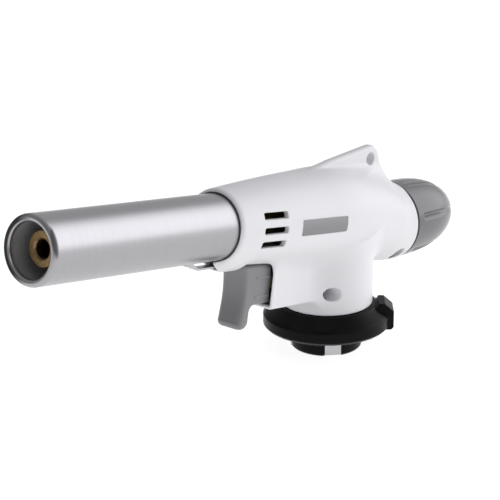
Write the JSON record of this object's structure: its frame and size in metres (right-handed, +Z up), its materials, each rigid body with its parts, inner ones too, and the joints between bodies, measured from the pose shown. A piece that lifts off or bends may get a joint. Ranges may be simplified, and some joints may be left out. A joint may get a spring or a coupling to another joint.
{
  "type": "butane torch",
  "caption": "Hand torch head for gas cartridges: steel flame tube, white moulded housing, piezo trigger, rear gas knob and black bayonet base.",
  "frame": {"origin": "centre of the cartridge socket's mouth, at the foot of the black base", "axes": "+Z up along the neck, out of the cartridge; the muzzle points to -X and tilts up 9.5 degrees; the knob is at +X; Y is across the housing"},
  "size_m": [0.1956, 0.0406, 0.0761],
  "materials": {
    "white_plastic": "satin moulded plastic",
    "plate_grey": "satin grey plate, blank",
    "zinc_steel": "zinc plated steel",
    "black_steel": "black oxide steel",
    "tube_steel": "satin brushed stainless tube",
    "bright_steel": "bright sheet steel",
    "burner_brass": "heat darkened brass",
    "turned_brass": "turned brass",
    "ceramic_white": "glazed ceramic",
    "wire_red": "silicone insulated lead",
    "grey_plastic": "satin moulded plastic",
    "knob_plastic": "satin moulded plastic",
    "dark_plastic": "moulded plastic",
    "plunger_plastic": "moulded plastic",
    "cast_zinc": "die-cast zinc",
    "black_rubber": "rubber",
    "black_plastic": "satin black moulded plastic"
  },
  "bodies": {
    "housing": {"near_shell": "white_plastic", "far_shell": "white_plastic", "name_plate": "plate_grey", "shell_screws": "black_steel", "flame_tube": "tube_steel", "tube_bracket": "bright_steel", "burner_nozzle": "burner_brass", "mixer_tube": "burner_brass", "tube_spider": "zinc_steel", "gas_jet": "turned_brass", "electrode_insulator": "ceramic_white", "ignition_electrode": "zinc_steel", "ignition_wire": "wire_red", "piezo_case": "dark_plastic", "piezo_spring": "zinc_steel", "valve_block": "cast_zinc", "inlet_nipple": "turned_brass", "inlet_seal": "black_rubber", "gland_nut": "turned_brass", "spindle_oring": "black_rubber", "knob_clip": "bright_steel", "lock_base": "black_plastic", "claw_plate": "bright_steel", "claw_screws": "zinc_steel"},
    "trigger": {"trigger": "grey_plastic", "piezo_plunger": "plunger_plastic"},
    "knob": {"knob": "knob_plastic"},
    "needle": {"needle_spindle": "turned_brass"}
  },
  "joints": [
    {"name": "trigger_press", "type": "slide", "parent": "housing", "child": "trigger", "axis": [0.9863, 0, -0.165], "range_m": [0, 0.0045], "stiffness_N_per_m": 300, "springref_m": -0.001, "deforming": ["piezo_spring"]},
    {"name": "knob_turn", "type": "hinge", "parent": "housing", "child": "knob", "pos_m": [0.0324, 0, 0.034], "axis": [0.9954, 0, -0.0958], "range_deg": [0, 452]},
    {"name": "needle_travel", "type": "slide", "parent": "knob", "child": "needle", "axis": [0.9954, 0, -0.0958], "range_m": [0, 0.001]}
  ],
  "couplings": [
    {"joint": "knob_turn", "follows": "needle_travel", "rad_per_m": 7854}
  ]
}
